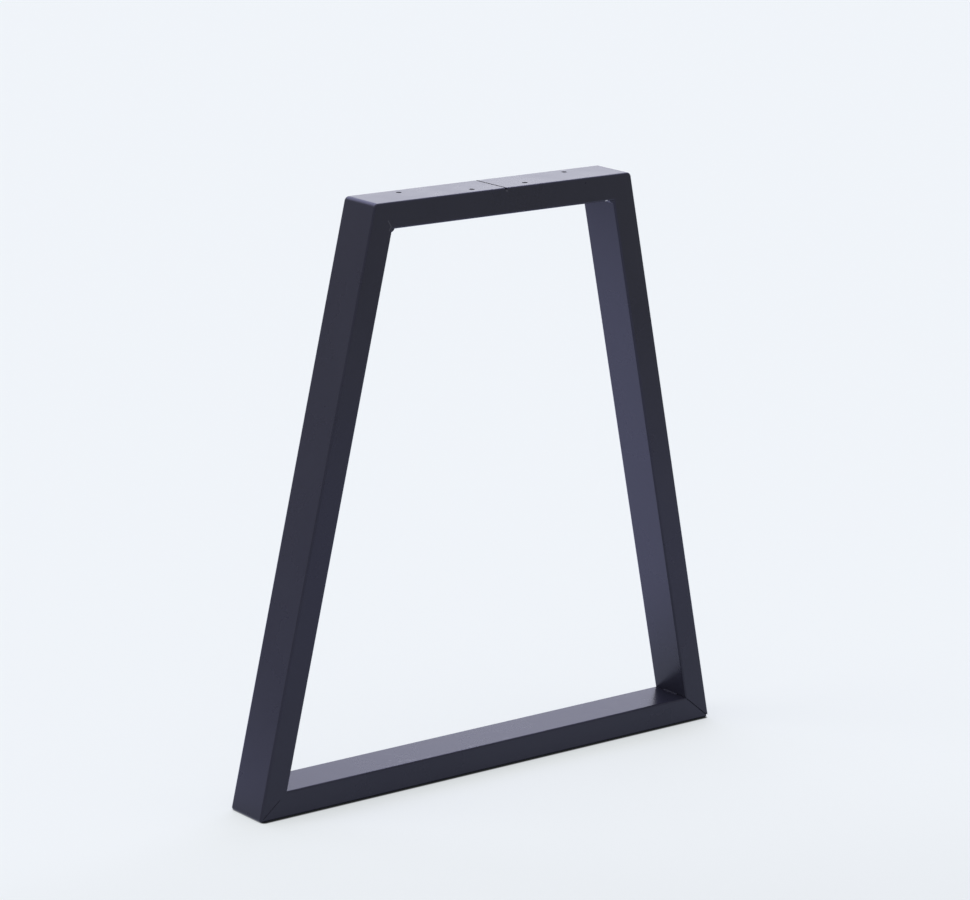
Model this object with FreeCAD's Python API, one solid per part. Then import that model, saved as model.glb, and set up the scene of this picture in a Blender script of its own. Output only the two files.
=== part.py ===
import FreeCAD, Part
import math
import os

# Trapezoid trestle leg for a table: one length of rectangular steel tube, notched and folded at four
# corners into a closed frame, its two ends butted together in the middle of the head rail.
# Millimetres. X runs along the rails, Y through the frame, Z is up, and the floor is z = 0.
# The origin lies on the floor, under the middle of the frame.

# Frame, measured over the outer faces to the corners as they would be without their folds
frame_height = 720.0
foot_width = 700.0
head_width = 385.0

# Tube section: depth lies along Y, face lies in the plane of the frame
tube_depth = 60.0
tube_face = 32.0
tube_wall = 2.0
edge_radius = 2.5

# Outer radius of the wall that is folded round each corner
head_fold_radius = 6.0
foot_fold_radius = 3.5

# Open butt seam where the two tube ends meet, across the top wall of the head rail
butt_seam_gap = 2.5

# Closed notches on the front and back faces of the foot corners: a fine V line from the inner corner
# out to the notch's tip, which is an open nick unless weld metal fills it. Weld metal also fills the
# first stretch of the left-hand line.
mitre_line_width = 1.2
mitre_line_depth = 0.8
left_mitre_filled = 14.0
right_mitre_filled = 0.0
notch_tip_width = 2.0
notch_tip_depth = 3.5
notch_tip_reach = 6.5

# Fillet welds along the four inner corners. The foot welds stop short of the front and back faces.
head_weld_leg = 5.0
foot_weld_leg = 1.6
weld_crown_share = 0.1
head_weld_setback = 0.5
foot_weld_setback = 16.0
weld_end_taper_share = 0.4

# Screw holes up into the table top, staggered about the middle of the rail
screw_hole_diameter = 7.0
driver_hole_diameter = 12.0
outer_screw_x = 125.0
inner_screw_x = 40.0
outer_screw_y = 15.0
inner_screw_y = -15.0

# Spare length by which each cutter runs past the faces that it opens
overrun = 1.0

splay = math.atan2((foot_width - head_width) / 2.0, frame_height)
up = FreeCAD.Vector(0, 0, 1)


def outline(inset):
    """Corners of the trapezoid that lies inset inside the outer faces: feet first, then heads."""

    def half_width(z):
        return foot_width / 2.0 - z * math.tan(splay) - inset / math.cos(splay)

    low = inset
    high = frame_height - inset
    return [
        FreeCAD.Vector(-half_width(low), 0, low),
        FreeCAD.Vector(half_width(low), 0, low),
        FreeCAD.Vector(half_width(high), 0, high),
        FreeCAD.Vector(-half_width(high), 0, high),
    ]


def slab(corners, front, back):
    """Flat plate with the given corners in the plane of the frame, from y = front to y = back."""
    wire = Part.makePolygon(corners + corners[:1])
    wire.translate(FreeCAD.Vector(0, front, 0))
    return Part.Face(wire).extrude(FreeCAD.Vector(0, back - front, 0))


def lies_across(edge):
    """True for an edge that runs along Y, through the thickness of the frame."""
    start, end = (vertex.Point for vertex in edge.Vertexes)
    return abs(end.y - start.y) > tube_depth / 4.0


def frame_ring(inset):
    """Solid frame whose surface lies inset inside the tube's outer surface."""
    half_depth = tube_depth / 2.0 - inset
    body = slab(outline(inset), -half_depth, half_depth)
    folds = [edge for edge in body.Edges if lies_across(edge)]
    heads = [edge for edge in folds if edge.CenterOfMass.z > frame_height / 2.0]
    body = body.makeFillet(head_fold_radius - inset, heads)
    folds = [edge for edge in body.Edges if lies_across(edge)]
    feet = [edge for edge in folds if edge.CenterOfMass.z < frame_height / 2.0]
    body = body.makeFillet(foot_fold_radius - inset, feet)
    opening = slab(outline(tube_face - inset), -half_depth - overrun, half_depth + overrun)
    ring = body.cut(opening)
    rims = [edge for edge in ring.Edges if not lies_across(edge)]
    return ring.makeFillet(edge_radius - inset, rims)


def strip(start, end, width, front, back):
    """Narrow bar of the given width along the line from start to end, from y = front to y = back."""
    along = (end - start).normalize()
    side = along.cross(FreeCAD.Vector(0, 1, 0)) * (width / 2.0)
    return slab([start - side, end - side, end + side, start + side], front, back)


def v_groove(start, end, side):
    """Fine V line along one face of the frame: side is -1 for the front face and 1 for the back."""
    out = FreeCAD.Vector(0, side, 0)
    across = (end - start).normalize().cross(out)
    mouth = mitre_line_width / 2.0 * (1.0 + overrun / mitre_line_depth)
    root = start + out * (tube_depth / 2.0 - mitre_line_depth)
    rim = start + out * (tube_depth / 2.0 + overrun)
    section = Part.Face(Part.makePolygon([root, rim + across * mouth, rim - across * mouth, root]))
    return section.extrude(end - start)


def mitre_cuts(inner, outer, filled, open_sides):
    """Closed notch of one foot corner: its line on the front and the back face, and its open tips."""
    outward = (outer - inner).normalize()
    tip = outer - outward * notch_tip_reach
    line_start = inner + outward * filled
    cuts = []
    for side in (-1, 1):
        if side not in open_sides:
            cuts.append(v_groove(line_start, tip, side))
            continue
        tip_span = (side * (tube_depth / 2.0 + overrun), side * (tube_depth / 2.0 - notch_tip_depth))
        cuts.append(v_groove(line_start, outer, side))
        cuts.append(strip(tip, outer, notch_tip_width, min(tip_span), max(tip_span)))
    return cuts


def butt_seam():
    """Gap between the two tube ends, through the top wall of the head rail."""
    depth = tube_wall + overrun
    corner = FreeCAD.Vector(-butt_seam_gap / 2.0, -tube_depth / 2.0 - overrun, frame_height - tube_wall)
    return Part.makeBox(butt_seam_gap, tube_depth + 2.0 * overrun, depth, corner)


def screw_places():
    """Centres of the four screw holes, seen from above."""
    return [
        (-outer_screw_x, outer_screw_y),
        (-inner_screw_x, inner_screw_y),
        (inner_screw_x, inner_screw_y),
        (outer_screw_x, outer_screw_y),
    ]


def screw_cuts():
    """Screw holes in the top wall, each over a driver hole in the bottom wall of the head rail."""
    through_wall = tube_wall + 2.0 * overrun
    top_start = frame_height - tube_wall - overrun
    bottom_start = frame_height - tube_face - overrun
    cuts = []
    for x, y in screw_places():
        screw_base = FreeCAD.Vector(x, y, top_start)
        driver_base = FreeCAD.Vector(x, y, bottom_start)
        cuts.append(Part.makeCylinder(screw_hole_diameter / 2.0, through_wall, screw_base, up))
        cuts.append(Part.makeCylinder(driver_hole_diameter / 2.0, through_wall, driver_base, up))
    return cuts


def folded_tube(outer_form):
    """The tube itself: hollow all round, folded at four corners and open at its seam and holes."""
    tube = outer_form.cut(frame_ring(tube_wall))
    outer_corners = outline(0.0)
    inner_corners = outline(tube_face)
    cuts = [butt_seam()] + screw_cuts()
    feet = ((left_mitre_filled, (1,)), (right_mitre_filled, (-1, 1)))
    for foot, (filled, open_sides) in enumerate(feet):
        cuts += mitre_cuts(inner_corners[foot], outer_corners[foot], filled, open_sides)
    return tube.cut(cuts)


def weld_bead(corner, along_rail, along_leg, leg, setback, outer_form):
    """Fillet weld across the frame in one inner corner. Its face is crowned, its ends taper, and its
    root fills the dips that the tube's rounded edges leave at the corner."""
    opening_way = (along_rail + along_leg).normalize()
    rail_toe = corner + along_rail * leg
    leg_toe = corner + along_leg * leg
    crown = (rail_toe + leg_toe) * 0.5 + opening_way * (leg * weld_crown_share)
    root = corner - opening_way * edge_radius
    edges = [
        Part.makeLine(root, rail_toe),
        Part.Arc(rail_toe, crown, leg_toe).toShape(),
        Part.makeLine(leg_toe, root),
    ]
    length = tube_depth - 2.0 * setback
    face = Part.Face(Part.Wire(edges))
    face.translate(FreeCAD.Vector(0, -length / 2.0, 0))
    bead = face.extrude(FreeCAD.Vector(0, length, 0))
    end_edges = [edge for edge in bead.Edges if isinstance(edge.Curve, Part.Circle)]
    return bead.makeChamfer(leg * weld_end_taper_share, end_edges).cut(outer_form)


def weld_beads(outer_form):
    """The four welds by name, from the corners of the opening."""
    corners = outline(tube_face)
    names = ("bottom_left", "bottom_right", "top_right", "top_left")
    foot_sizes = (foot_weld_leg, foot_weld_setback)
    head_sizes = (head_weld_leg, head_weld_setback)
    sizes = (foot_sizes, foot_sizes, head_sizes, head_sizes)
    rail_ends = (1, 0, 3, 2)
    leg_ends = (3, 2, 1, 0)
    beads = {}
    for index, name in enumerate(names):
        corner = corners[index]
        along_rail = (corners[rail_ends[index]] - corner).normalize()
        along_leg = (corners[leg_ends[index]] - corner).normalize()
        leg, setback = sizes[index]
        bead = weld_bead(corner, along_rail, along_leg, leg, setback, outer_form)
        beads["weld_bead_" + name] = bead
    return beads


os.makedirs("parts", exist_ok=True)
frame_form = frame_ring(0.0)
pieces = {"folded_tube_frame": folded_tube(frame_form)}
pieces.update(weld_beads(frame_form))
for name, shape in pieces.items():
    shape.exportStep("parts/" + name + ".step")
    print(name, "solids", len(shape.Solids), "valid", shape.isValid(), "volume", round(shape.Volume, 1))
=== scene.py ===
import math
import random

import bpy
from mathutils import Matrix, Vector


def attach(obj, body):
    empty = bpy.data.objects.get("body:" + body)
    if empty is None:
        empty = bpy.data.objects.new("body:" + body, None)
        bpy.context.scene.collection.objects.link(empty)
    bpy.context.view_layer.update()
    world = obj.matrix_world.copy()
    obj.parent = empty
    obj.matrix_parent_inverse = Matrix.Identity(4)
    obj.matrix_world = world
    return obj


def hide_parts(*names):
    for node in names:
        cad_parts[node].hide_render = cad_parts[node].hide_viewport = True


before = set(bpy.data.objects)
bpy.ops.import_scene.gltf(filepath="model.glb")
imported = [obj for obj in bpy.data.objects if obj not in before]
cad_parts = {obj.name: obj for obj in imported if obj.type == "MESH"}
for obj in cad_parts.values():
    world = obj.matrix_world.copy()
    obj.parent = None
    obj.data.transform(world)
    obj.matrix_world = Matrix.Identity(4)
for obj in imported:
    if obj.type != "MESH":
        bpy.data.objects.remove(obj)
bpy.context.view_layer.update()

# Trapezoid table leg folded from black powder-coated tube. Metres, in the frame of the CAD model:
# X along the rails, Y through the frame, Z up, the floor at z = 0.

# Frame, over the outer faces to the unfolded corners
FRAME_HEIGHT = 0.720
FOOT_WIDTH = 0.700
HEAD_WIDTH = 0.385
TUBE_FACE = 0.032
SPLAY = math.atan2((FOOT_WIDTH - HEAD_WIDTH) / 2.0, FRAME_HEIGHT)

# Welds in the inner corners: legs, crown, and the ripples that the torch leaves
HEAD_WELD_LEG = 0.0050
HEAD_WELD_HALF_LENGTH = 0.0293
FOOT_WELD_LEG = 0.0016
FOOT_WELD_HALF_LENGTH = 0.0138
WELD_CROWN_SHARE = 0.1
WELD_ROOT = 0.0012
RIPPLE_PITCH = 0.0024
RIPPLE_HALF_LENGTH = 0.0027
RIPPLE_LEAN = math.radians(20.0)
RIPPLE_STRAY = 0.00015
RIPPLE_WIDTH_SHARE = 1.12
RIPPLE_HEIGHT_SHARE = 0.55
RIPPLE_SEGMENTS = 24
RIPPLE_RINGS = 12
WELD_VOXEL = 0.00035
WELD_SMOOTH_FACTOR = 0.5
WELD_SMOOTH_TIMES = 2
WELD_CREASE = math.radians(40.0)

# Photograph's frame and view of the frame's middle
IMAGE_WIDTH = 970
FOCAL_PIXELS = 3905.5
SENSOR_MM = 36.0
VIEW_AZIMUTH = math.radians(-38.612)
VIEW_ELEVATION = math.radians(14.301)
VIEW_ROLL = math.radians(1.146)
VIEW_DISTANCE = 4.7028
VIEW_TARGET = Vector((-0.0004, 0.0, 0.3950))

# Powder coat: black with a blue cast, and the thickest of the film that handling leaves on it. Its orange
# peel and its finer grain are given by their closeness, and the peel by its height too.
COAT_COLOUR = (0.0175, 0.0175, 0.0285, 1.0)
FILM_COLOUR = (0.0195, 0.0195, 0.0305, 1.0)
COAT_ROUGHNESS = 0.27
FILM_ROUGHNESS = 0.30
COAT_IOR = 1.345
FILM_CLOSENESS = 9.0
FILM_EDGE = (0.35, 0.68)
TUBE_PEEL = (500.0, 0.00002)
WELD_PEEL = (350.0, 0.00003)
GRAIN_CLOSENESS = 2200.0
GRAIN_SHARE = 0.25

# Marks that handling left, with painted highlights among them, in millimetres: start, end, half width and
# strength of each line
RUB_AND_HIGHLIGHT_COLOUR = (0.25, 0.25, 0.26, 1.0)
RUBS_AND_PAINTED_HIGHLIGHTS = (
    ((-173.8, -30.0, 698.7), (-169.3, -30.0, 691.2), 0.9, 0.18),
    ((-169.3, -30.0, 691.2), (-172.2, -30.0, 686.8), 0.9, 0.18),
    ((0.0, -30.0, 717.0), (1.5, -30.0, 716.0), 1.6, 0.18),
    ((266.0, 21.2, 32.0), (269.0, 21.2, 32.0), 1.2, 0.18),
    ((236.0, 19.4, 32.0), (239.5, 19.4, 32.0), 1.2, 0.18),
    ((178.0, 20.4, 32.0), (181.0, 20.4, 32.0), 1.2, 0.18),
    ((-145.0, -9.5, 32.0), (-144.0, -9.5, 32.0), 2.6, 0.22),
    # From here on the lines lie in a band along the foot rail's front top edge: a painted highlight of that
    # edge.
    ((-138.0, -19.0, 32.0), (-134.0, -18.0, 32.0), 3.6, 0.18),
    ((-150.0, -26.0, 32.0), (-144.0, -26.5, 32.0), 3.0, 0.20),
    ((-128.0, -21.0, 32.0), (-118.0, -23.0, 32.0), 3.2, 0.20),
    ((-100.0, -24.5, 32.0), (-95.0, -24.5, 32.0), 3.0, 0.15),
    ((-34.0, -22.0, 32.0), (-28.0, -22.0, 32.0), 3.0, 0.13),
    ((20.0, -23.0, 32.0), (26.0, -23.0, 32.0), 3.0, 0.13),
)
# A light spot on the front face by the front end of the top-right weld: a painted glint off that weld.
PAINTED_GLINT_COLOUR = (0.62, 0.62, 0.64, 1.0)
PAINTED_GLINTS = (((154.6, -29.4, 688.7), (156.6, -29.4, 688.7), 1.5, 1.0),)
DULL_LINES = (
    ((9.0, 3.0, 32.0), (23.0, 3.0, 32.0), 3.6, 0.5),
    ((23.0, 3.0, 32.0), (23.5, -13.5, 32.0), 2.4, 0.5),
    ((9.0, 3.0, 32.0), (6.5, -15.5, 32.0), 2.4, 0.5),
)

# Worn patches on the foot rail's top: middle, half length, half width, share of soft edge, angle. The
# first ones are streaked with light and dull, the last is a little dull all over. A patch ends within
# the given heights off its face.
STREAK_ANGLE = math.radians(-38.7)
STREAK_CLOSENESS = (55.0, 170.0, 0.0)
STREAK_LIGHT = 0.06
STREAK_LIGHT_EDGE = (0.52, 0.68)
STREAK_DULL = 0.35
STREAK_DULL_EDGE = (0.48, 0.34)
STREAK_PATCHES = (
    ((-120.0, -3.0, 32.0), 34.0, 15.0, 0.5, STREAK_ANGLE),
    ((196.0, -4.0, 32.0), 12.0, 7.0, 0.5, STREAK_ANGLE),
)
DULL_PATCH = ((15.5, -6.5, 32.0), 8.5, 10.5, 0.35, 0.0)
PATCH_DULL = 0.18
PATCH_HEIGHTS = (0.002, 0.003)

# Pale paper floor: the share of it that glows so that shadows stay faint, painted shade that darkens it
# towards the lens and the right, and a painted contact shadow along the line where the foot rail's flat face
# meets it
FLOOR_SIDE = 40.0
FLOOR_DROP = 0.0003
FLOOR_COLOUR = (0.808, 0.835, 0.735, 1.0)
FLOOR_SEEN = (0.886, 0.921, 0.948, 1.0)
FLOOR_GLOW = 0.58
# Painted shade: the floor darkens towards the lens and the right, where the light falls off.
FLOOR_NEAR_PAINTED_SHADE = 0.945
FLOOR_NEAR_SHARES = (0.9, 0.25)
FLOOR_NEAR_EDGE = (0.1, 0.6)
FOOTPRINT = (0.342, 0.0275, 1.0)
# Painted contact shadow: the floor darkens round the footprint, from the start to the end distance, down to
# its tone.
CONTACT_START = 0.0032
CONTACT_END = 0.0070
CONTACT_SHADOW_TONE = 0.03

# The same paper as the coat mirrors it: bright and blue behind the leg, dim in front, dimmest where it ends
MIRRORED_BEHIND = (1.25, 1.30, 2.16, 1.0)
MIRRORED_FAR_BEHIND = (0.47, 0.485, 0.78, 1.0)
MIRRORED_FRONT = (0.71, 0.77, 1.03, 1.0)
MIRRORED_MID = (0.84, 0.87, 1.42, 1.0)
MIRRORED_FAR = (0.43, 0.45, 0.36, 1.0)
MIRRORED_GLOW = 0.8
MIRRORED_MIDDLE = (0.14, 0.70, 0.0)
MIRRORED_FADE = (0.72, 1.15)
MIRRORED_BEHIND_EDGE = (0.03, 0.30)
MIRRORED_MID_EDGE = (-0.1, -0.9)
MIRRORED_FAR_EDGE = (1.0, 2.6)

# Room and its lights. A light is a rectangle of the room, in degrees: azimuth from +Y towards +X, elevation,
# half width, half height and soft edge, then the radiance that it adds to the room's own.
ROOM_SEEN = (0.86, 0.89, 0.93, 1.0)
ROOM_COLOUR = (0.56, 0.565, 0.67, 1.0)
PANEL_COLOUR = (1.06, 1.07, 1.13, 1.0)
BAND_COLOUR = (0.60, 0.65, 1.35, 1.0)
LAMP_COLOUR = (1.0, 1.0, 1.0, 1.0)
SOFTBOX_COLOUR = (0.95, 0.95, 1.55, 1.0)
BACK_PANEL = (38.7, 9.0, 38.0, 8.0, 4.5, 1.48)
BLUE_BAND = (38.7, 22.0, 38.0, 6.0, 3.0, 0.45)
BACK_SOFTBOX = (30.0, 41.0, 46.0, 10.0, 4.0, 2.2)
OVERHEAD = (0.0, 90.0, 25.0, 25.0, 5.0, 0.80)
LEFT_SOFTBOX = (-70.0, 40.0, 18.0, 15.0, 5.0, 1.5)


def select_only(piece):
    """Deselects everything, then selects and activates one piece."""
    bpy.ops.object.select_all(action="DESELECT")
    piece.select_set(True)
    bpy.context.view_layer.objects.active = piece


def apply_modifier(piece, kind, **settings):
    """Adds a modifier with its settings and applies it."""
    modifier = piece.modifiers.new(kind.lower(), kind)
    for name, value in settings.items():
        setattr(modifier, name, value)
    select_only(piece)
    bpy.ops.object.modifier_apply(modifier=modifier.name)


def add_node(tree, kind, inputs=None, **settings):
    """Adds a node. Its inputs are given by name or number, each as a value or as another node's output."""
    node = tree.nodes.new(kind)
    for name, value in settings.items():
        setattr(node, name, value)
    for socket, value in (inputs or {}).items():
        if isinstance(value, bpy.types.NodeSocket):
            tree.links.new(value, node.inputs[socket])
        else:
            node.inputs[socket].default_value = value
    return node


def calculate(tree, operation, *values):
    """Math node on values or outputs."""
    return add_node(tree, "ShaderNodeMath", dict(enumerate(values)), operation=operation).outputs[0]


def vector_math(tree, operation, first, second):
    """Vector math node on two vectors or outputs."""
    node = add_node(tree, "ShaderNodeVectorMath", {0: first, 1: second}, operation=operation)
    return node.outputs["Value" if operation == "DISTANCE" else "Vector"]


def strongest(tree, masks):
    """Largest of several masks."""
    total = masks[0]
    for mask in masks[1:]:
        total = calculate(tree, "MAXIMUM", total, mask)
    return total


def dot(tree, vector, axis):
    """Length of a vector along an axis."""
    node = add_node(tree, "ShaderNodeVectorMath", {0: vector, 1: axis}, operation="DOT_PRODUCT")
    return node.outputs["Value"]


def mix_colours(tree, share, first, second):
    """Colour between two colours or colour outputs."""
    node = add_node(tree, "ShaderNodeMix", {0: share, 6: first, 7: second}, data_type="RGBA")
    return node.outputs[2]


def ramp(tree, value, start, end, low=0.0, high=1.0):
    """Smooth step of a value from low at start to high at end."""
    inputs = {"Value": value, "From Min": start, "From Max": end, "To Min": low, "To Max": high}
    node = add_node(tree, "ShaderNodeMapRange", inputs, interpolation_type="SMOOTHSTEP")
    return node.outputs["Result"]


def new_group(name, inputs, outputs):
    """Empty shader node group with named sockets, and its input and output nodes."""
    group = bpy.data.node_groups.new(name, "ShaderNodeTree")
    for label, kind, default in inputs:
        socket = group.interface.new_socket(label, in_out="INPUT", socket_type=kind)
        socket.default_value = default
    for label, kind in outputs:
        group.interface.new_socket(label, in_out="OUTPUT", socket_type=kind)
    return group, group.nodes.new("NodeGroupInput"), group.nodes.new("NodeGroupOutput")


def powder_grain_group():
    """Height of a sprayed and baked powder film: slow orange peel with a finer grain on it."""
    group, given, result = new_group(
        "powder_grain",
        [
            ("Position", "NodeSocketVector", (0.0, 0.0, 0.0)),
            ("Peel Scale", "NodeSocketFloat", TUBE_PEEL[0]),
            ("Grain Scale", "NodeSocketFloat", GRAIN_CLOSENESS),
            ("Grain Share", "NodeSocketFloat", GRAIN_SHARE),
        ],
        [("Height", "NodeSocketFloat")],
    )
    position = given.outputs["Position"]
    peel_inputs = {"Vector": position, "Scale": given.outputs["Peel Scale"], "Detail": 2.0, "Roughness": 0.4}
    peel = add_node(group, "ShaderNodeTexNoise", peel_inputs)
    grain_inputs = {"Vector": position, "Scale": given.outputs["Grain Scale"], "Detail": 1.0}
    grain = add_node(group, "ShaderNodeTexNoise", grain_inputs)
    fine = calculate(group, "MULTIPLY", grain.outputs["Fac"], given.outputs["Grain Share"])
    height = calculate(group, "ADD", peel.outputs["Fac"], fine)
    group.links.new(height, result.inputs["Height"])
    return group


def handling_film_group():
    """Mask of the thin uneven film that hands and packing leave on a dark coat."""
    group, given, result = new_group(
        "handling_film",
        [
            ("Position", "NodeSocketVector", (0.0, 0.0, 0.0)),
            ("Patch Scale", "NodeSocketFloat", FILM_CLOSENESS),
        ],
        [("Film", "NodeSocketFloat")],
    )
    patch_inputs = {
        "Vector": given.outputs["Position"],
        "Scale": given.outputs["Patch Scale"],
        "Detail": 5.0,
        "Roughness": 0.55,
    }
    patch = add_node(group, "ShaderNodeTexNoise", patch_inputs)
    group.links.new(ramp(group, patch.outputs["Fac"], *FILM_EDGE), result.inputs["Film"])
    return group


def line_mark_group():
    """Mask of a fine mark along a straight line."""
    group, given, result = new_group(
        "line_mark",
        [
            ("Position", "NodeSocketVector", (0.0, 0.0, 0.0)),
            ("Start", "NodeSocketVector", (0.0, 0.0, 0.0)),
            ("End", "NodeSocketVector", (0.0, 0.0, 1.0)),
            ("Width", "NodeSocketFloat", 0.001),
            ("Strength", "NodeSocketFloat", 1.0),
        ],
        [("Mask", "NodeSocketFloat")],
    )
    start = given.outputs["Start"]
    offset = vector_math(group, "SUBTRACT", given.outputs["Position"], start)
    axis = vector_math(group, "SUBTRACT", given.outputs["End"], start)
    along = calculate(group, "DIVIDE", dot(group, offset, axis), dot(group, axis, axis))
    along = add_node(group, "ShaderNodeClamp", {"Value": along}).outputs["Result"]
    nearest = add_node(group, "ShaderNodeVectorMath", {0: axis, "Scale": along}, operation="SCALE")
    across = vector_math(group, "DISTANCE", offset, nearest.outputs["Vector"])
    mask = ramp(group, across, 0.0, given.outputs["Width"], given.outputs["Strength"], 0.0)
    group.links.new(mask, result.inputs["Mask"])
    return group


def worn_patch_group():
    """Masks on a level face: a soft-edged patch, and the light and the dull streaks within it."""
    group, given, result = new_group(
        "worn_patch",
        [
            ("Position", "NodeSocketVector", (0.0, 0.0, 0.0)),
            ("Middle", "NodeSocketVector", (0.0, 0.0, 0.0)),
            ("Half Length", "NodeSocketFloat", 0.03),
            ("Half Width", "NodeSocketFloat", 0.01),
            ("Edge Share", "NodeSocketFloat", 0.5),
            ("Angle", "NodeSocketFloat", 0.0),
        ],
        [("Patch", "NodeSocketFloat"), ("Light", "NodeSocketFloat"), ("Dull", "NodeSocketFloat")],
    )
    offset = vector_math(group, "SUBTRACT", given.outputs["Position"], given.outputs["Middle"])
    turn_back = calculate(group, "MULTIPLY", given.outputs["Angle"], -1.0)
    turn_inputs = {"Vector": offset, "Angle": turn_back}
    local = add_node(group, "ShaderNodeVectorRotate", turn_inputs, rotation_type="Z_AXIS").outputs["Vector"]
    above = calculate(group, "ABSOLUTE", dot(group, local, (0.0, 0.0, 1.0)))
    patch = ramp(group, above, *PATCH_HEIGHTS, 1.0, 0.0)
    whole_share = calculate(group, "SUBTRACT", 1.0, given.outputs["Edge Share"])
    for axis, reach in (((1.0, 0.0, 0.0), "Half Length"), ((0.0, 1.0, 0.0), "Half Width")):
        distance = calculate(group, "ABSOLUTE", dot(group, local, axis))
        start = calculate(group, "MULTIPLY", given.outputs[reach], whole_share)
        inside = ramp(group, distance, start, given.outputs[reach], 1.0, 0.0)
        patch = calculate(group, "MULTIPLY", patch, inside)
    stretched = vector_math(group, "MULTIPLY", local, STREAK_CLOSENESS)
    noise_inputs = {"Vector": stretched, "Scale": 1.0, "Detail": 2.0}
    noise = add_node(group, "ShaderNodeTexNoise", noise_inputs).outputs["Fac"]
    light = calculate(group, "MULTIPLY", patch, ramp(group, noise, *STREAK_LIGHT_EDGE))
    dull = calculate(group, "MULTIPLY", patch, ramp(group, noise, *STREAK_DULL_EDGE))
    group.links.new(patch, result.inputs["Patch"])
    group.links.new(light, result.inputs["Light"])
    group.links.new(dull, result.inputs["Dull"])
    return group


def in_metres(point):
    """Point of a mark, from millimetres to metres."""
    return tuple(value / 1000.0 for value in point)


def line_masks(tree, position, groups, lines):
    """Mask of each straight mark of a list."""
    masks = []
    for start, end, width, strength in lines:
        node = add_node(tree, "ShaderNodeGroup", node_tree=groups["line_mark"])
        tree.links.new(position, node.inputs["Position"])
        node.inputs["Start"].default_value = in_metres(start)
        node.inputs["End"].default_value = in_metres(end)
        node.inputs["Width"].default_value = width / 1000.0
        node.inputs["Strength"].default_value = strength
        masks.append(node.outputs["Mask"])
    return masks


def worn_patch(tree, position, groups, patch):
    """Node of one worn patch."""
    middle, half_length, half_width, edge_share, angle = patch
    node = add_node(tree, "ShaderNodeGroup", node_tree=groups["worn_patch"])
    tree.links.new(position, node.inputs["Position"])
    node.inputs["Middle"].default_value = in_metres(middle)
    node.inputs["Half Length"].default_value = half_length / 1000.0
    node.inputs["Half Width"].default_value = half_width / 1000.0
    node.inputs["Edge Share"].default_value = edge_share
    node.inputs["Angle"].default_value = angle
    return node


def marks_and_painted_highlights(tree, position, groups):
    """Masks of the light rub marks with the painted edge highlights, of the painted glints and of the dull
    marks on the tube.
    """
    rubs_and_highlights = line_masks(tree, position, groups, RUBS_AND_PAINTED_HIGHLIGHTS)
    dull = line_masks(tree, position, groups, DULL_LINES)
    for patch in STREAK_PATCHES:
        node = worn_patch(tree, position, groups, patch)
        rubs_and_highlights.append(calculate(tree, "MULTIPLY", node.outputs["Light"], STREAK_LIGHT))
        dull.append(calculate(tree, "MULTIPLY", node.outputs["Dull"], STREAK_DULL))
    node = worn_patch(tree, position, groups, DULL_PATCH)
    dull.append(calculate(tree, "MULTIPLY", node.outputs["Patch"], PATCH_DULL))
    painted_glints = line_masks(tree, position, groups, PAINTED_GLINTS)
    return strongest(tree, rubs_and_highlights), strongest(tree, painted_glints), strongest(tree, dull)


def powder_coat(name, groups, peel, marked):
    """Satin black powder coat, with the marks of handling and painted highlights where it is marked."""
    material = bpy.data.materials.new(name)
    material.use_nodes = True
    tree = material.node_tree
    tree.nodes.clear()
    position = add_node(tree, "ShaderNodeTexCoord").outputs["Object"]
    grain = add_node(tree, "ShaderNodeGroup", node_tree=groups["powder_grain"])
    tree.links.new(position, grain.inputs["Position"])
    peel_scale, peel_height = peel
    grain.inputs["Peel Scale"].default_value = peel_scale
    metallic = 0.0
    film = add_node(tree, "ShaderNodeGroup", node_tree=groups["handling_film"])
    tree.links.new(position, film.inputs["Position"])
    colour = mix_colours(tree, film.outputs["Film"], COAT_COLOUR, FILM_COLOUR)
    roughness = ramp(tree, film.outputs["Film"], 0.0, 1.0, COAT_ROUGHNESS, FILM_ROUGHNESS)
    if marked:
        rubs_and_highlights, painted_glints, metallic = marks_and_painted_highlights(tree, position, groups)
        # Light rub marks and the painted highlight along the foot rail's front top edge, laid on the coat's
        # colour.
        colour = mix_colours(tree, rubs_and_highlights, colour, RUB_AND_HIGHLIGHT_COLOUR)
        # Painted glint: a light spot that stands in for the glint off the top-right weld.
        colour = mix_colours(tree, painted_glints, colour, PAINTED_GLINT_COLOUR)
    bump = add_node(tree, "ShaderNodeBump", {"Height": grain.outputs["Height"], "Distance": peel_height})
    shader_inputs = {
        "Base Color": colour,
        "Metallic": metallic,
        "Roughness": roughness,
        "Normal": bump.outputs["Normal"],
        "IOR": COAT_IOR,
    }
    shader = add_node(tree, "ShaderNodeBsdfPrincipled", shader_inputs)
    add_node(tree, "ShaderNodeOutputMaterial", {"Surface": shader.outputs["BSDF"]})
    return material


def painted_contact_shadow(tree, position):
    """Painted contact shadow on the floor round the foot rail's footprint, dark where the two meet."""
    outward = add_node(tree, "ShaderNodeVectorMath", {0: position}, operation="ABSOLUTE").outputs["Vector"]
    outward = vector_math(tree, "SUBTRACT", outward, FOOTPRINT)
    outward = vector_math(tree, "MAXIMUM", outward, (0.0, 0.0, 0.0))
    gap = add_node(tree, "ShaderNodeVectorMath", {0: outward}, operation="LENGTH")
    return ramp(tree, gap.outputs["Value"], CONTACT_START, CONTACT_END, CONTACT_SHADOW_TONE, 1.0)


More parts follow.
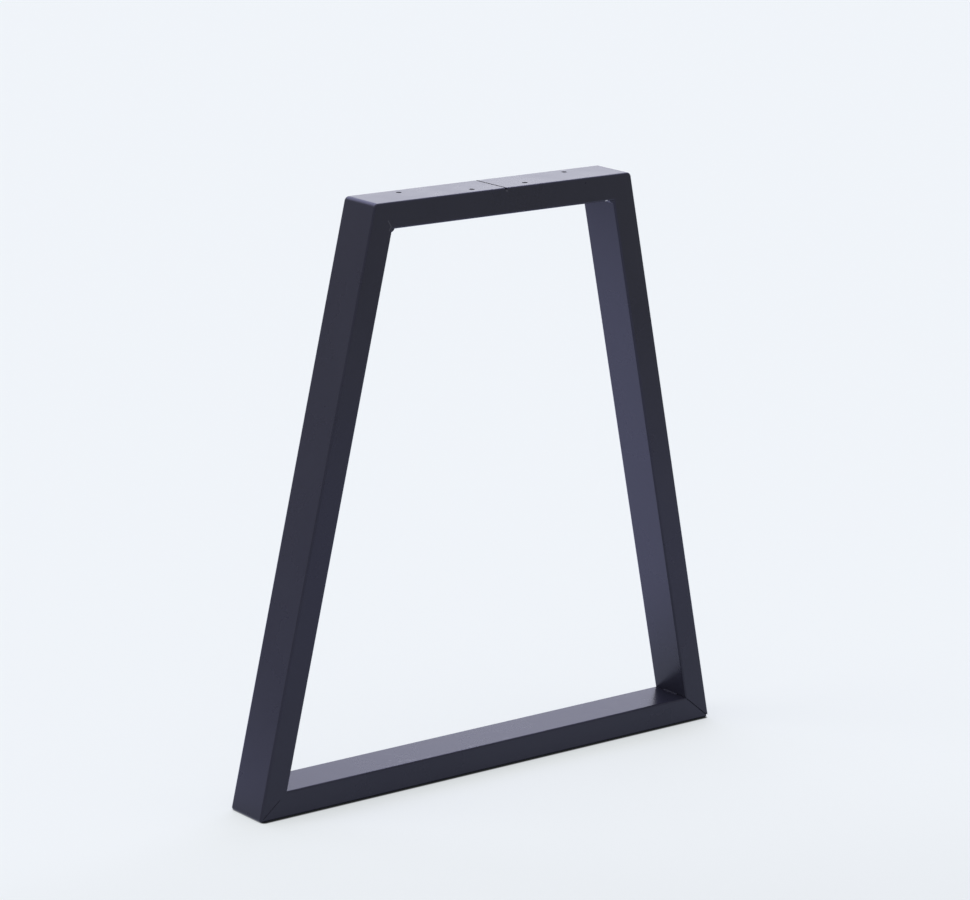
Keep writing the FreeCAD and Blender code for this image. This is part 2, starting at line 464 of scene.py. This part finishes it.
def pale_floor_material():
    """Matt pale paper. Part of it glows to the lens and in reflections."""
    material = bpy.data.materials.new("pale_floor")
    material.use_nodes = True
    tree = material.node_tree
    tree.nodes.clear()
    position = add_node(tree, "ShaderNodeTexCoord").outputs["Object"]
    sideways = Vector((math.cos(VIEW_AZIMUTH), math.sin(VIEW_AZIMUTH), 0.0))
    to_lens = Vector((math.sin(VIEW_AZIMUTH), -math.cos(VIEW_AZIMUTH), 0.0))
    near_way = to_lens * FLOOR_NEAR_SHARES[0] + sideways * FLOOR_NEAR_SHARES[1]
    # Painted shade: the floor's light falling off towards the lens and the right, times the painted contact
    # shadow.
    tone = ramp(tree, dot(tree, position, near_way), *FLOOR_NEAR_EDGE, 1.0, FLOOR_NEAR_PAINTED_SHADE)
    tone = calculate(tree, "MULTIPLY", tone, painted_contact_shadow(tree, position))
    away = dot(tree, position, (0.0, 1.0, 0.0))
    far = ramp(tree, vector_math(tree, "DISTANCE", position, MIRRORED_MIDDLE), *MIRRORED_FADE)
    behind = mix_colours(tree, far, MIRRORED_BEHIND, MIRRORED_FAR_BEHIND)
    front = mix_colours(tree, ramp(tree, away, *MIRRORED_MID_EDGE), MIRRORED_FRONT, MIRRORED_MID)
    off_side = ramp(tree, dot(tree, position, sideways), *MIRRORED_FAR_EDGE)
    front = mix_colours(tree, off_side, front, MIRRORED_FAR)
    mirrored = mix_colours(tree, ramp(tree, away, *MIRRORED_BEHIND_EDGE), front, behind)
    path = add_node(tree, "ShaderNodeLightPath")
    glow_colour = mix_colours(tree, path.outputs["Is Camera Ray"], mirrored, FLOOR_SEEN)
    seen = calculate(tree, "MULTIPLY", path.outputs["Is Camera Ray"], FLOOR_GLOW)
    reflected = calculate(tree, "MULTIPLY", path.outputs["Is Glossy Ray"], MIRRORED_GLOW)
    share = calculate(tree, "MAXIMUM", seen, reflected)
    shade = mix_colours(tree, tone, (0.0, 0.0, 0.0, 1.0), FLOOR_COLOUR)
    paper = add_node(tree, "ShaderNodeBsdfDiffuse", {"Color": shade})
    glow = add_node(tree, "ShaderNodeEmission", {"Color": glow_colour, "Strength": tone})
    mixed = add_node(tree, "ShaderNodeMixShader", {0: share, 1: paper.outputs[0], 2: glow.outputs[0]})
    add_node(tree, "ShaderNodeOutputMaterial", {"Surface": mixed.outputs[0]})
    return material


def inner_corner(side, foot):
    """Inner corner of the frame, and the directions away from it along the rail and along the leg."""
    z = TUBE_FACE if foot else FRAME_HEIGHT - TUBE_FACE
    half_width = FOOT_WIDTH / 2.0 - z * math.tan(SPLAY) - TUBE_FACE / math.cos(SPLAY)
    upward = 1.0 if foot else -1.0
    along_rail = Vector((-side, 0.0, 0.0))
    along_leg = Vector((-side * math.sin(SPLAY), 0.0, math.cos(SPLAY))) * upward
    return Vector((side * half_width, 0.0, z)), along_rail, along_leg


def rippled_weld(name, side, foot, leg, half_length, seed):
    """Fillet weld with overlapping ripples, lying along Y in one inner corner."""
    draw = random.Random(seed)
    corner, along_rail, along_leg = inner_corner(side, foot)
    half_angle = along_rail.angle(along_leg) / 2.0
    half_width = leg * math.sin(half_angle) * RIPPLE_WIDTH_SHARE
    height = leg * RIPPLE_HEIGHT_SHARE
    crest = leg * (math.cos(half_angle) + WELD_CROWN_SHARE)
    bpy.ops.object.select_all(action="DESELECT")
    bpy.ops.mesh.primitive_uv_sphere_add(segments=RIPPLE_SEGMENTS, ring_count=RIPPLE_RINGS, radius=1.0)
    piece = bpy.context.object
    piece.name = name
    bpy.ops.object.mode_set(mode="EDIT")
    bpy.ops.mesh.select_all(action="SELECT")
    bpy.ops.transform.resize(value=(half_width, RIPPLE_HALF_LENGTH, height))
    bpy.ops.transform.rotate(value=RIPPLE_LEAN, orient_axis="X", center_override=(0.0, 0.0, 0.0))
    travel = 2.0 * (half_length - RIPPLE_HALF_LENGTH)
    count = round(travel / RIPPLE_PITCH)
    bpy.ops.transform.translate(value=(0.0, -travel / 2.0, crest - height))
    stray = Vector((0.0, 0.0, 0.0))
    for _ in range(count):
        bpy.ops.mesh.duplicate()
        new_stray = Vector([draw.uniform(-RIPPLE_STRAY, RIPPLE_STRAY) for _ in range(3)])
        step = Vector((0.0, travel / count, 0.0)) + new_stray - stray
        bpy.ops.transform.translate(value=step)
        stray = new_stray
    bpy.ops.object.mode_set(mode="OBJECT")
    apply_modifier(piece, "REMESH", mode="VOXEL", voxel_size=WELD_VOXEL)
    apply_modifier(piece, "SMOOTH", factor=WELD_SMOOTH_FACTOR, iterations=WELD_SMOOTH_TIMES)
    bpy.ops.object.mode_set(mode="EDIT")
    for wall in (-1.0, 1.0):
        inward = Vector((wall * math.cos(half_angle), 0.0, math.sin(half_angle)))
        bpy.ops.mesh.select_all(action="SELECT")
        bpy.ops.mesh.bisect(plane_co=-inward * WELD_ROOT, plane_no=inward, use_fill=True, clear_inner=True)
    bpy.ops.object.mode_set(mode="OBJECT")
    bpy.ops.object.shade_smooth_by_angle(angle=WELD_CREASE)
    opening_way = (along_rail + along_leg).normalized()
    y_axis = Vector((0.0, 1.0, 0.0))
    turn = Matrix((y_axis.cross(opening_way), y_axis, opening_way)).transposed()
    piece.matrix_world = Matrix.Translation(corner) @ turn.to_4x4()
    bpy.ops.object.transform_apply(location=True, rotation=True, scale=True)
    return piece


def place_camera():
    """Camera at the photograph's angle."""
    sin_a, cos_a = math.sin(VIEW_AZIMUTH), math.cos(VIEW_AZIMUTH)
    sin_e, cos_e = math.sin(VIEW_ELEVATION), math.cos(VIEW_ELEVATION)
    back = Vector((sin_a * cos_e, -cos_a * cos_e, sin_e))
    level_right = Vector((cos_a, sin_a, 0.0))
    level_up = back.cross(level_right)
    right = level_right * math.cos(VIEW_ROLL) + level_up * math.sin(VIEW_ROLL)
    up = level_up * math.cos(VIEW_ROLL) - level_right * math.sin(VIEW_ROLL)
    lens = bpy.data.cameras.new("view")
    lens.sensor_fit = "HORIZONTAL"
    lens.sensor_width = SENSOR_MM
    lens.lens = FOCAL_PIXELS * SENSOR_MM / IMAGE_WIDTH
    camera = bpy.data.objects.new("view", lens)
    bpy.context.scene.collection.objects.link(camera)
    turn = Matrix((right, up, back)).transposed().to_4x4()
    camera.matrix_world = Matrix.Translation(VIEW_TARGET + back * VIEW_DISTANCE) @ turn
    bpy.context.scene.camera = camera


def lamp(tree, direction, colour, light):
    """Soft-edged rectangle of light in the room, seen from its middle."""
    azimuth, elevation, half_width, half_height, edge = (math.radians(angle) for angle in light[:5])
    level = Vector((math.sin(azimuth), math.cos(azimuth), 0.0))
    forward = level * math.cos(elevation) + Vector((0.0, 0.0, math.sin(elevation)))
    right = Vector((math.cos(azimuth), -math.sin(azimuth), 0.0))
    up = right.cross(forward)
    depth = dot(tree, direction, forward)
    mask = ramp(tree, depth, 0.0, 0.1)
    for axis, half in ((right, half_width), (up, half_height)):
        offset = calculate(tree, "ABSOLUTE", calculate(tree, "ARCTAN2", dot(tree, direction, axis), depth))
        mask = calculate(tree, "MULTIPLY", mask, ramp(tree, offset, half - edge, half + edge, 1.0, 0.0))
    strength = calculate(tree, "MULTIPLY", mask, light[5])
    return add_node(tree, "ShaderNodeBackground", {"Color": colour, "Strength": strength}).outputs[0]


def light_room():
    """Pale room with a low bright panel and soft lights, so far off that they light the floor evenly."""
    world = bpy.data.worlds.new("studio")
    bpy.context.scene.world = world
    world.use_nodes = True
    tree = world.node_tree
    tree.nodes.clear()
    direction = add_node(tree, "ShaderNodeTexCoord").outputs["Generated"]
    total = add_node(tree, "ShaderNodeBackground", {"Color": ROOM_COLOUR, "Strength": 1.0}).outputs[0]
    lights = (
        (PANEL_COLOUR, BACK_PANEL),
        (BAND_COLOUR, BLUE_BAND),
        (SOFTBOX_COLOUR, BACK_SOFTBOX),
        (LAMP_COLOUR, OVERHEAD),
        (LAMP_COLOUR, LEFT_SOFTBOX),
    )
    for colour, light in lights:
        shine = lamp(tree, direction, colour, light)
        total = add_node(tree, "ShaderNodeAddShader", {0: total, 1: shine}).outputs[0]
    plain = add_node(tree, "ShaderNodeBackground", {"Color": ROOM_SEEN, "Strength": 1.0}).outputs[0]
    to_lens = add_node(tree, "ShaderNodeLightPath").outputs["Is Camera Ray"]
    surface = add_node(tree, "ShaderNodeMixShader", {0: to_lens, 1: total, 2: plain}).outputs[0]
    add_node(tree, "ShaderNodeOutputWorld", {"Surface": surface})


def lay_floor():
    """Plain pale floor, a hair under the leg."""
    bpy.ops.object.select_all(action="DESELECT")
    bpy.ops.mesh.primitive_plane_add(size=FLOOR_SIDE, location=(0.0, 0.0, -FLOOR_DROP))
    floor = bpy.context.object
    floor.name = "floor"
    bpy.ops.object.transform_apply(location=True, rotation=True, scale=True)
    floor.data.materials.append(pale_floor_material())


groups = {
    "powder_grain": powder_grain_group(),
    "handling_film": handling_film_group(),
    "line_mark": line_mark_group(),
    "worn_patch": worn_patch_group(),
}
tube_coat = powder_coat("powder_coated_tube_finish", groups, TUBE_PEEL, True)
weld_coat = powder_coat("powder_coated_weld_finish", groups, WELD_PEEL, False)

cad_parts["folded_tube_frame"].data.materials[0] = tube_coat

head_sizes = (HEAD_WELD_LEG, HEAD_WELD_HALF_LENGTH)
foot_sizes = (FOOT_WELD_LEG, FOOT_WELD_HALF_LENGTH)
welds = (
    ("top_left", -1.0, False, head_sizes, 11),
    ("top_right", 1.0, False, head_sizes, 12),
    ("bottom_left", -1.0, True, foot_sizes, 13),
    ("bottom_right", 1.0, True, foot_sizes, 14),
)
for place, side, foot, (leg, half_length), seed in welds:
    weld = rippled_weld("rippled_weld_" + place, side, foot, leg, half_length, seed)
    weld.data.materials.append(weld_coat)
    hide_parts("weld_bead_" + place)
    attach(weld, "root")

lay_floor()
light_room()
place_camera()
bpy.context.scene.view_settings.view_transform = "Standard"
